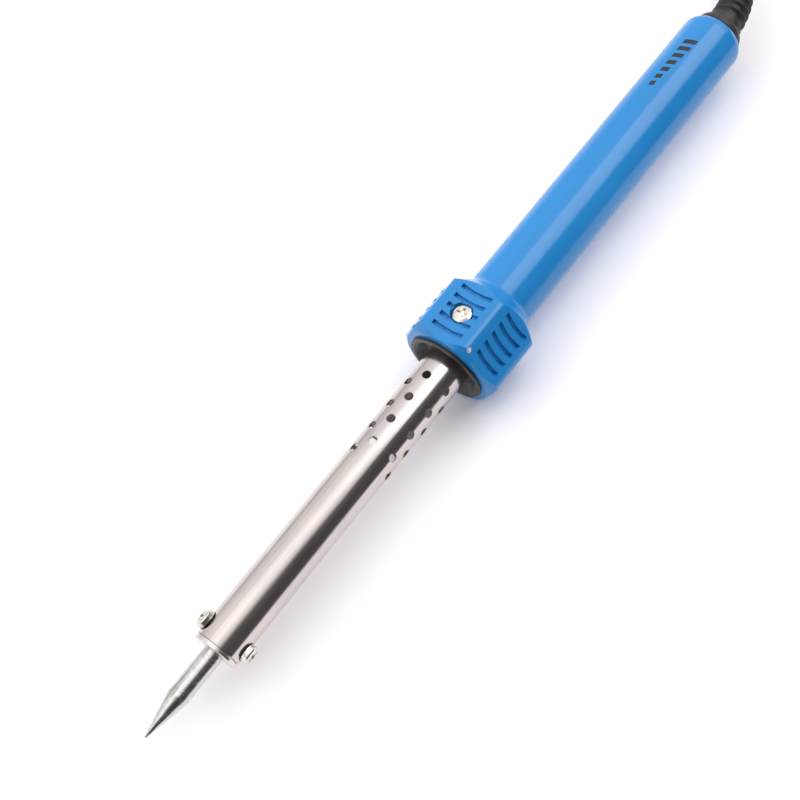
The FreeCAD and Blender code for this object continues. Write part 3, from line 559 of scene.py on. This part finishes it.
def make_plug(materials):
    """The plug's moulding: a ribbed neck that widens into a waisted body with a flat face."""
    rings = []
    steps = 150
    for step in range(steps + 1):
        station = 42.0 * step / steps
        wide, high, power = plug_section(station)
        grip = 0.0
        if 1.5 < station < 11.5:
            grip = -0.55 * bump_shape(((station - 1.5) % 2.5) / 2.5, RIB_EDGE)
        if 24.5 < station < 36.5:
            grip = -0.35 * bump_shape(((station - 24.5) % 2.4) / 2.4, RIB_EDGE)
        ring = []
        for i in range(72):
            angle = 2 * math.pi * i / 72
            c, s = math.cos(angle), math.sin(angle)
            y = (wide + grip) * math.copysign(abs(c) ** (2 / power), c)
            z = (high + grip * 0.6) * math.copysign(abs(s) ** (2 / power), s)
            ring.append((PLUG_AT + station * MM, PLUG_SIDE + y * MM, PLUG_HEIGHT + z * MM))
        rings.append(ring)
    piece = loft("plug_moulding", rings, materials["plug_black"])
    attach(piece, "iron")
    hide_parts("plug_body")
    return piece


TIE_WIDTH = 9.0 * MM
TIE_THICKNESS = 1.0 * MM


def make_tie(materials):
    """The woven strap round the hank, with its loose end laid over and a small hump where it overlaps."""
    middle = HANK_NEAR + HANK_STRAIGHT / 2
    half_wide = HANK_WIDE + CORD_RADIUS
    low, high = 0.6 * MM, HANK_HIGH + CORD_RADIUS + 0.55 * MM
    corner = 3.2 * MM
    width, thick = TIE_WIDTH, TIE_THICKNESS
    line = []
    corners = [(half_wide - corner, high - corner, 0), (-half_wide + corner, high - corner, 90),
               (-half_wide + corner, low + corner, 180), (half_wide - corner, low + corner, 270)]
    for y, z, start in corners:
        for step in range(9):
            angle = math.radians(start + 90 * step / 8)
            reach = corner + 0.05 * MM
            line.append(Vector((0, y + reach * math.cos(angle), z + reach * math.sin(angle))))
    full = []
    for here, there in zip(line, line[1:] + line[:1]):
        pieces = max(1, int((there - here).length / (0.9 * MM)))
        full += [here.lerp(there, k / pieces) for k in range(pieces)]
    count = len(full)
    mesh = bpy.data.meshes.new("tie_strap")
    built = bmesh.new()
    uv = built.loops.layers.uv.new("strap")
    rows = []
    walked = 0.0
    walk = []
    for i, point in enumerate(full):
        ahead = (full[(i + 1) % count] - full[i - 1]).normalized()
        out = Vector((0, ahead.z, -ahead.y))
        sag = 0.25 * MM * math.sin(point.y * 480) if point.z > high - 0.5 * MM else 0.0
        overlap = 0.75 * MM if point.z > high - 0.5 * MM and point.y > 2 * MM else 0.0
        row = []
        for x, level in ((-1, 0), (-1, 1), (-0.9, 1.12), (0.9, 1.12), (1, 1), (1, 0)):
            lift = (level - 0.5) * thick + (overlap if level > 0.5 else 0.0) - abs(sag)
            below = Vector((middle + x * width / 2, HANK_SIDE, 0)) + point
            row.append(built.verts.new(below + out * lift * 0.9))
        rows.append(row)
        walk.append(walked)
        walked += (full[(i + 1) % count] - point).length
    for i in range(count):
        here, there = rows[i], rows[(i + 1) % count]
        for k in range(6):
            n = (k + 1) % 6
            face = built.faces.new((here[k], there[k], there[n], here[n]))
            face.smooth = k in (1, 2, 3)
            far = walked if i == count - 1 else walk[i + 1]
            for loop, (u, v) in zip(face.loops, ((walk[i], k), (far, k), (far, n), (walk[i], n))):
                loop[uv].uv = (u, rows[0][v].co.x)
    bmesh.ops.recalc_face_normals(built, faces=built.faces)
    built.to_mesh(mesh)
    built.free()
    piece = bpy.data.objects.new("tie_strap", mesh)
    bpy.context.collection.objects.link(piece)
    mesh.materials.append(materials["tie_strap"])
    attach(piece, "iron")
    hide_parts("hank_tie")
    return piece


MARK_BARS = 7
MARK_START = 101.0 * MM
MARK_PITCH = 3.1 * MM
MARK_BAR = 1.7 * MM


def make_mark(materials):
    """A plain printed row of slanted bars on the handle, growing in height, with no lettering."""
    mesh = bpy.data.meshes.new("printed_mark")
    built = bmesh.new()
    middle_angle = math.radians(3)
    for index in range(MARK_BARS):
        tall = (1.6 + 0.4 * index) * MM
        rows = []
        for step in range(13):
            share = step / 12
            across = -2.0 * MM + tall * share
            station = MARK_START + index * MARK_PITCH + across * 0.25
            edge = []
            for side in (0, 1):
                x = station + side * MARK_BAR
                radius = mix(10.05, 9.8, (x - 18.4 * MM) / (115.6 * MM)) * MM + 0.015 * MM
                angle = middle_angle - across / radius
                edge.append(built.verts.new((x, radius * math.sin(angle), AXIS_Z + radius * math.cos(angle))))
            rows.append(edge)
        for here, there in zip(rows, rows[1:]):
            built.faces.new((here[0], here[1], there[1], there[0]))
    bmesh.ops.recalc_face_normals(built, faces=built.faces)
    built.to_mesh(mesh)
    built.free()
    piece = bpy.data.objects.new("printed_mark", mesh)
    bpy.context.collection.objects.link(piece)
    mesh.materials.append(materials["printed_mark"])
    thicken = piece.modifiers.new("ink", "SOLIDIFY")
    thicken.thickness = 0.03 * MM
    thicken.offset = 0
    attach(piece, "iron")
    return piece


# ---- light -------------------------------------------------------------------------------------------------


SKY = [(-90, 0.10), (-52, 0.10), (-46, 0.14), (-42, 0.22), (-38, 0.6), (-33, 0.85), (-25, 1.1), (-14, 1.5),
       (4, 1.5), (20, 1.15), (45, 1.0), (65, 0.8), (84, 0.62), (90, 0.9)]
SKY_TOP = 1.6


def make_world():
    """A white tent overhead, dimmer toward the horizon, and a dark room on the -Y side."""
    world = bpy.data.worlds.new("studio")
    bpy.context.scene.world = world
    world.use_nodes = True
    tree = world.node_tree
    tree.nodes.clear()
    coords = tree.nodes.new("ShaderNodeTexCoord")
    split = tree.nodes.new("ShaderNodeSeparateXYZ")
    tree.links.new(coords.outputs["Generated"], split.inputs[0])
    angle = tree.nodes.new("ShaderNodeMath")
    angle.operation = "ARCTAN2"
    tree.links.new(split.outputs["Y"], angle.inputs[0])
    tree.links.new(split.outputs["Z"], angle.inputs[1])
    lean = tree.nodes.new("ShaderNodeMath")
    lean.operation = "MULTIPLY_ADD"
    tree.links.new(split.outputs["X"], lean.inputs[0])
    lean.inputs[1].default_value = math.radians(32)
    tree.links.new(angle.outputs[0], lean.inputs[2])
    spread = tree.nodes.new("ShaderNodeMapRange")
    spread.inputs["From Min"].default_value = math.radians(-80.4)
    spread.inputs["From Max"].default_value = math.radians(99.6)
    tree.links.new(lean.outputs[0], spread.inputs["Value"])
    ramp = tree.nodes.new("ShaderNodeValToRGB")
    while len(ramp.color_ramp.elements) < len(SKY):
        ramp.color_ramp.elements.new(0.5)
    for element, (degrees, level) in zip(ramp.color_ramp.elements, SKY):
        element.position = (degrees + 90) / 180
        element.color = (level / SKY_TOP, level / SKY_TOP, level / SKY_TOP, 1)
    tree.links.new(spread.outputs["Result"], ramp.inputs[0])
    background = tree.nodes.new("ShaderNodeBackground")
    background.inputs["Strength"].default_value = SKY_TOP
    tree.links.new(ramp.outputs["Color"], background.inputs["Color"])
    output = tree.nodes.new("ShaderNodeOutputWorld")
    tree.links.new(background.outputs[0], output.inputs[0])


def make_lamp(name, where, aim, size, power, mirrored):
    """A soft rectangular lamp; a mirrored one also shows in the glossy surfaces."""
    data = bpy.data.lights.new(name, "AREA")
    data.shape = "RECTANGLE"
    data.size, data.size_y = size
    data.energy = power
    lamp = bpy.data.objects.new(name, data)
    bpy.context.collection.objects.link(lamp)
    back = (Vector(where) - Vector(aim)).normalized()
    side = (ALONG - back * ALONG.dot(back)).normalized()
    turn = Matrix((side, back.cross(side), back)).transposed().to_4x4()
    lamp.matrix_world = Matrix.Translation(where) @ turn
    lamp.visible_glossy = mirrored


BENCH_HALF = 4.0
SURROUND_HEIGHT = 8.0
FLAG_SIDE = -0.075
FLAG_HALF = 0.6
FLAG_HEIGHT = 0.06


def stage_piece(name, points, faces, recipe):
    """A flat piece of the stage, which isn't part of the object."""
    mesh = bpy.data.meshes.new(name)
    mesh.from_pydata(points, [], faces)
    piece = bpy.data.objects.new(name, mesh)
    bpy.context.collection.objects.link(piece)
    mesh.materials.append(recipe.material)
    return piece


def make_stage():
    """The bench top, a dark flag that only reflections see, and a surround that only the camera sees."""
    square = [(x * BENCH_HALF, y * BENCH_HALF) for x, y in ((-1, -1), (1, -1), (1, 1), (-1, 1))]
    white = plain("bench_white", (0.945, 0.918, 0.945), (0.935, 0.908, 0.935), (0.6, 0.7), 300, 0.01 * MM)
    white.constant(Emission_Color=(1.0, 0.97, 1.0, 1), Emission_Strength=0.11)
    stage_piece("bench", [(x, y, 0) for x, y in square], [(0, 1, 2, 3)], white)

    dark = plain("flag_dark", (0.06, 0.058, 0.058), (0.05, 0.048, 0.048), (0.8, 0.9), 200, 0.01 * MM)
    flag = stage_piece("flag", [(-FLAG_HALF, FLAG_SIDE, 0), (FLAG_HALF, FLAG_SIDE, 0),
                                (FLAG_HALF, FLAG_SIDE, FLAG_HEIGHT), (-FLAG_HALF, FLAG_SIDE, FLAG_HEIGHT)],
                       [(0, 1, 2, 3)], dark)
    flag.visible_camera = False
    flag.visible_diffuse = False
    flag.visible_shadow = False

    pale = plain("surround_white", (0.02, 0.02, 0.02), (0.018, 0.018, 0.018), (0.8, 0.9), 200, 0.01 * MM)
    pale.constant(Emission_Color=(0.97, 0.95, 0.97, 1), Emission_Strength=1.0)
    walls = [(i, (i + 1) % 4, (i + 1) % 4 + 4, i + 4) for i in range(4)]
    edges = [(x, y, z) for z in (0, SURROUND_HEIGHT) for x, y in square]
    surround = stage_piece("surround", edges, walls, pale)
    surround.visible_diffuse = False
    surround.visible_glossy = False
    surround.visible_transmission = False
    surround.visible_shadow = False


make_camera()
cord = make_cord()
materials = make_materials()
paint_nodes(materials)
cord.data.materials.append(materials["cord_black"])
make_boot(materials)
declare_cord(make_plug(materials), make_tie(materials))
make_mark(materials)
make_stage()
make_world()
make_lamp("soft_key", (-0.1, 0.55, 0.75), (0, 0, 0), (0.5, 0.5), 1.0, False)
make_lamp("softbox", (0.56, -0.305, 0.80), (0.05, 0, 0.014), (0.66, 0.70), 2.9, True)
bpy.context.scene.view_settings.view_transform = "Standard"
